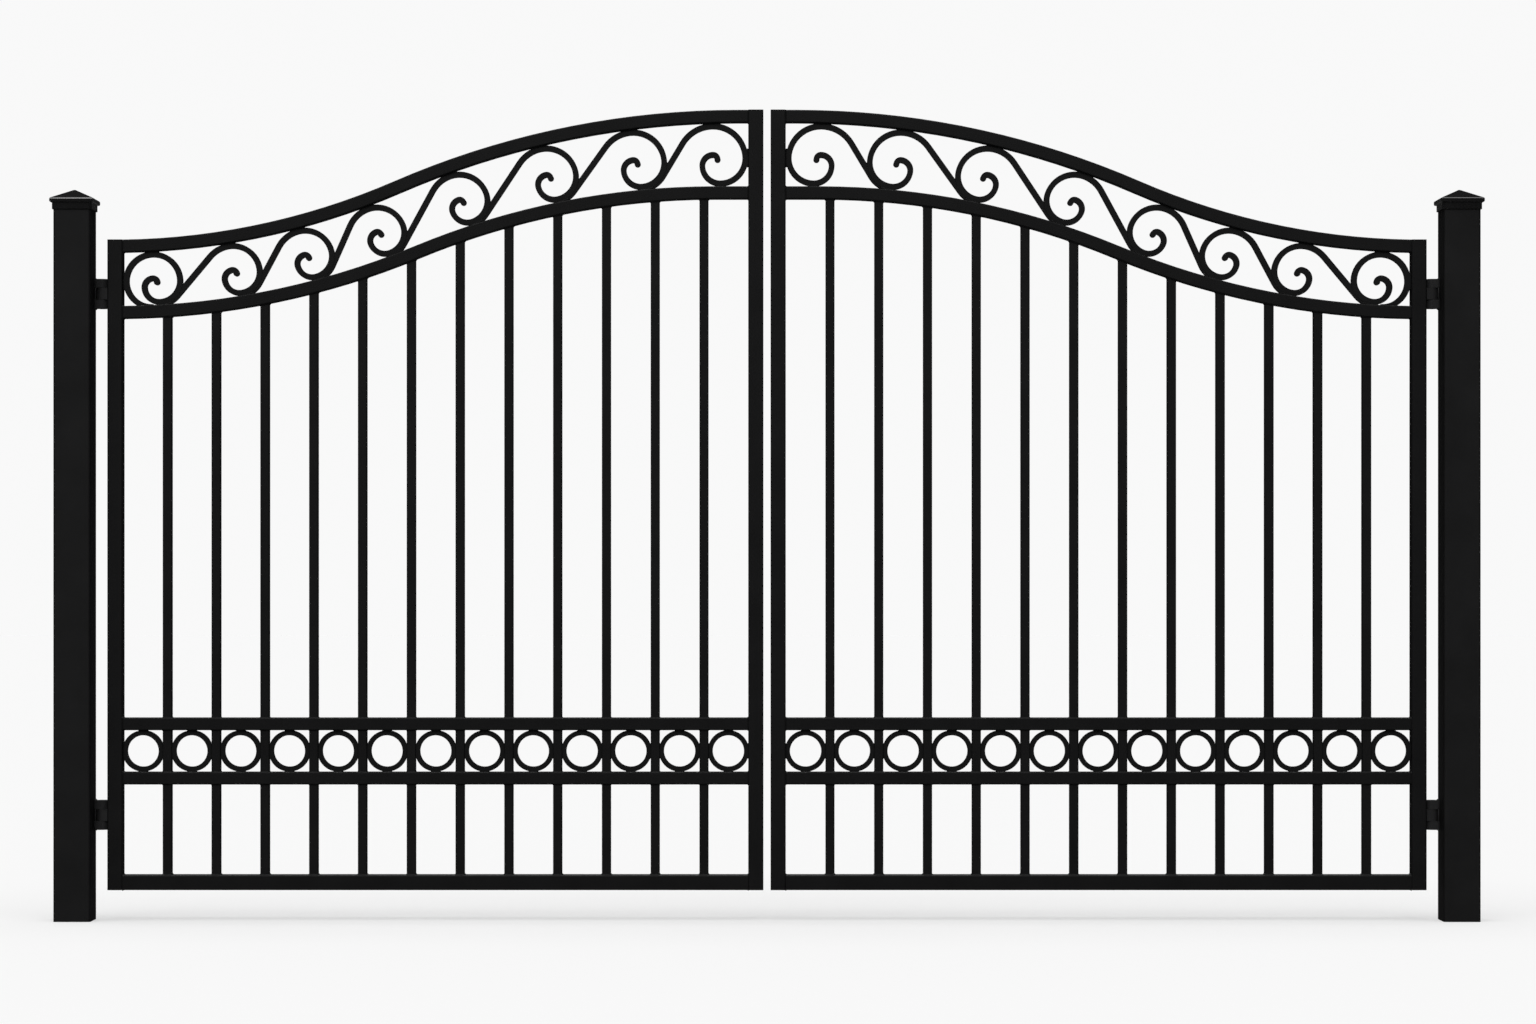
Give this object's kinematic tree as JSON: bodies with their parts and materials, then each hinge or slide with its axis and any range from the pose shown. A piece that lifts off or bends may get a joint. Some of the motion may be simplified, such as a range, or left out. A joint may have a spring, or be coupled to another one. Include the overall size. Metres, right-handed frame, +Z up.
{
  "type": "double leaf driveway gate",
  "caption": "black steel driveway gate with two swinging leaves that arch up to the middle, a band of scrolls, a band of rings, plain pickets, and two square posts with pyramid caps",
  "frame": {"origin": "centre of the left post's foot, on the ground", "axes": "+Z up; +X along the gate from the left post to the right post, as seen from the street; -Y is the street side and both leaves open towards +Y"},
  "size_m": [3.954, 0.1205, 2.247],
  "materials": {
    "leaf_coating": "satin black powder coat",
    "scrollwork_coating": "satin black powder coat",
    "post_coating": "satin black powder coat",
    "cap_coating": "satin black powder coat on a casting",
    "hinge_coating": "satin black powder coat"
  },
  "bodies": {
    "posts": {"left_post": "post_coating", "left_post_cap": "cap_coating", "left_upper_hinge_post_half": "hinge_coating", "left_upper_hinge_pin": "hinge_coating", "left_lower_hinge_post_half": "hinge_coating", "left_lower_hinge_pin": "hinge_coating", "right_post": "post_coating", "right_post_cap": "cap_coating", "right_upper_hinge_post_half": "hinge_coating", "right_upper_hinge_pin": "hinge_coating", "right_lower_hinge_post_half": "hinge_coating", "right_lower_hinge_pin": "hinge_coating"},
    "left_leaf": {"left_leaf_hinge_stile": "leaf_coating", "left_leaf_meeting_stile": "leaf_coating", "left_leaf_bottom_rail": "leaf_coating", "left_leaf_lower_middle_rail": "leaf_coating", "left_leaf_upper_middle_rail": "leaf_coating", "left_leaf_lower_curved_rail": "leaf_coating", "left_leaf_top_rail": "leaf_coating", "left_leaf_pickets": "leaf_coating", "left_leaf_rings": "scrollwork_coating", "left_leaf_scrolls": "scrollwork_coating", "left_upper_hinge_leaf_half": "hinge_coating", "left_lower_hinge_leaf_half": "hinge_coating"},
    "right_leaf": {"right_leaf_hinge_stile": "leaf_coating", "right_leaf_meeting_stile": "leaf_coating", "right_leaf_bottom_rail": "leaf_coating", "right_leaf_lower_middle_rail": "leaf_coating", "right_leaf_upper_middle_rail": "leaf_coating", "right_leaf_lower_curved_rail": "leaf_coating", "right_leaf_top_rail": "leaf_coating", "right_leaf_pickets": "leaf_coating", "right_leaf_rings": "scrollwork_coating", "right_leaf_scrolls": "scrollwork_coating", "right_upper_hinge_leaf_half": "hinge_coating", "right_lower_hinge_leaf_half": "hinge_coating"}
  },
  "joints": [
    {"name": "left_leaf_swing", "type": "hinge", "parent": "posts", "child": "left_leaf", "pos_m": [0.0695, 0.043, 0.29], "axis": [0, 0, 1], "range_deg": [0, 110]},
    {"name": "right_leaf_swing", "type": "hinge", "parent": "posts", "child": "right_leaf", "pos_m": [3.7645, 0.043, 0.29], "axis": [0, 0, -1], "range_deg": [0, 110]}
  ]
}
